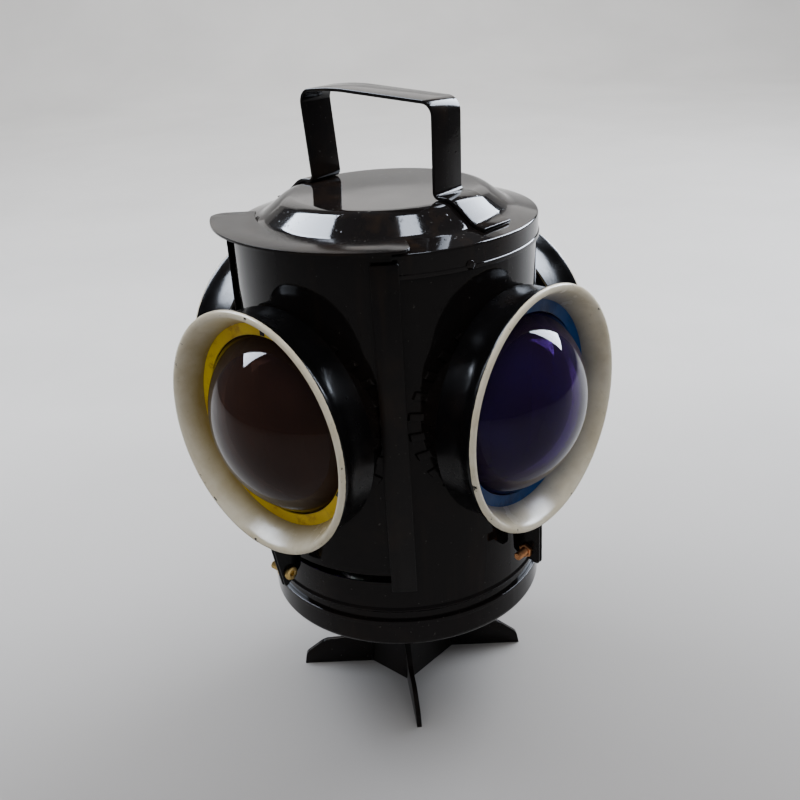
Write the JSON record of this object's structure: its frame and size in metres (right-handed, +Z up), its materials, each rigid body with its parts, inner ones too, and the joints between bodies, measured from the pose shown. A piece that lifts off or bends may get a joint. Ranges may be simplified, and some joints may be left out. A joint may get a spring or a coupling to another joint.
{
  "type": "switch signal lamp",
  "caption": "Round oil-burning signal lamp with hooded coloured lenses on every side, a lift-off door, a strap handle and a finned socket foot.",
  "frame": {"origin": "on the lamp's axis at the underside of the foot, at the mouth of the spindle socket", "axes": "+Z up, the handle and the right and left lenses lie along X, the door and its lens face -Y"},
  "size_m": [0.252, 0.2532, 0.3805],
  "materials": {
    "black_enamel": "gloss",
    "white_enamel": "gloss",
    "yellow_enamel": "gloss",
    "blue_enamel": "gloss",
    "smoky_amber_glass": "gloss",
    "cobalt_glass": "gloss",
    "gasket_felt": "matte",
    "bolt_brass": "satin",
    "bolt_copper": "satin",
    "burner_brass": "satin",
    "tinned_steel": "satin",
    "wick_cotton": "matte"
  },
  "bodies": {
    "lamp_body": {"body_shell": "black_enamel", "base_pan": "black_enamel", "lid": "black_enamel", "lid_screws": "black_enamel", "handle": "black_enamel", "guide_right": "black_enamel", "guide_left": "black_enamel", "foot_strip_front": "black_enamel", "foot_strip_rear": "black_enamel", "foot_strip_right": "black_enamel", "foot_strip_left": "black_enamel", "font_seat": "tinned_steel", "lens_holder_right": "black_enamel", "lens_gasket_right": "gasket_felt", "lens_right": "cobalt_glass", "target_ring_right": "blue_enamel", "ring_clips_right": "black_enamel", "hood_right": "white_enamel", "clamp_bolt_right": "bolt_copper", "lens_holder_rear": "black_enamel", "lens_gasket_rear": "gasket_felt", "lens_rear": "smoky_amber_glass", "target_ring_rear": "yellow_enamel", "ring_clips_rear": "black_enamel", "hood_rear": "white_enamel", "clamp_bolt_rear": "bolt_brass", "lens_holder_left": "black_enamel", "lens_gasket_left": "gasket_felt", "lens_left": "cobalt_glass", "target_ring_left": "blue_enamel", "ring_clips_left": "black_enamel", "hood_left": "white_enamel", "clamp_bolt_left": "bolt_copper"},
    "door": {"door_panel": "black_enamel", "door_top_plate": "black_enamel", "lens_holder_door": "black_enamel", "lens_gasket_door": "gasket_felt", "lens_door": "smoky_amber_glass", "target_ring_door": "yellow_enamel", "ring_clips_door": "black_enamel", "hood_door": "white_enamel", "clamp_bolt_door": "bolt_brass"},
    "font": {"oil_font": "tinned_steel"},
    "filler_cap": {"filler_cap": "burner_brass"},
    "burner": {"burner_collar": "burner_brass", "burner_body": "burner_brass", "wick_tube": "burner_brass", "burner_cone": "burner_brass"},
    "wick_winder": {"wick_spindle": "burner_brass", "wick_wheel": "burner_brass", "wick_knob": "burner_brass"},
    "wick": {"wick": "wick_cotton"}
  },
  "joints": [
    {"name": "door_lift", "type": "slide", "parent": "lamp_body", "child": "door", "axis": [0, 0, 1], "range_m": [0, 0.18]},
    {"name": "font_lift", "type": "slide", "parent": "lamp_body", "child": "font", "axis": [0, 0, 1], "range_m": [0, 0.045]},
    {"name": "filler_cap_turn", "type": "hinge", "parent": "font", "child": "filler_cap", "pos_m": [-0.03, 0, 0.157], "axis": [0, 0, 1], "range_deg": [0, 720]},
    {"name": "burner_turn", "type": "hinge", "parent": "font", "child": "burner", "pos_m": [0, 0, 0.158], "axis": [0, 0, 1], "range_deg": [0, 360]},
    {"name": "winder_turn", "type": "hinge", "parent": "burner", "child": "wick_winder", "pos_m": [0, -0.00595, 0.17], "axis": [1, 0, 0], "range_deg": [-60, 90]},
    {"name": "wick_raise", "type": "slide", "parent": "burner", "child": "wick", "axis": [0, 0, 1], "range_m": [-0.0045, 0.0066]}
  ],
  "couplings": [
    {"joint": "wick_raise", "follows": "winder_turn", "m_per_rad": 0.004}
  ]
}
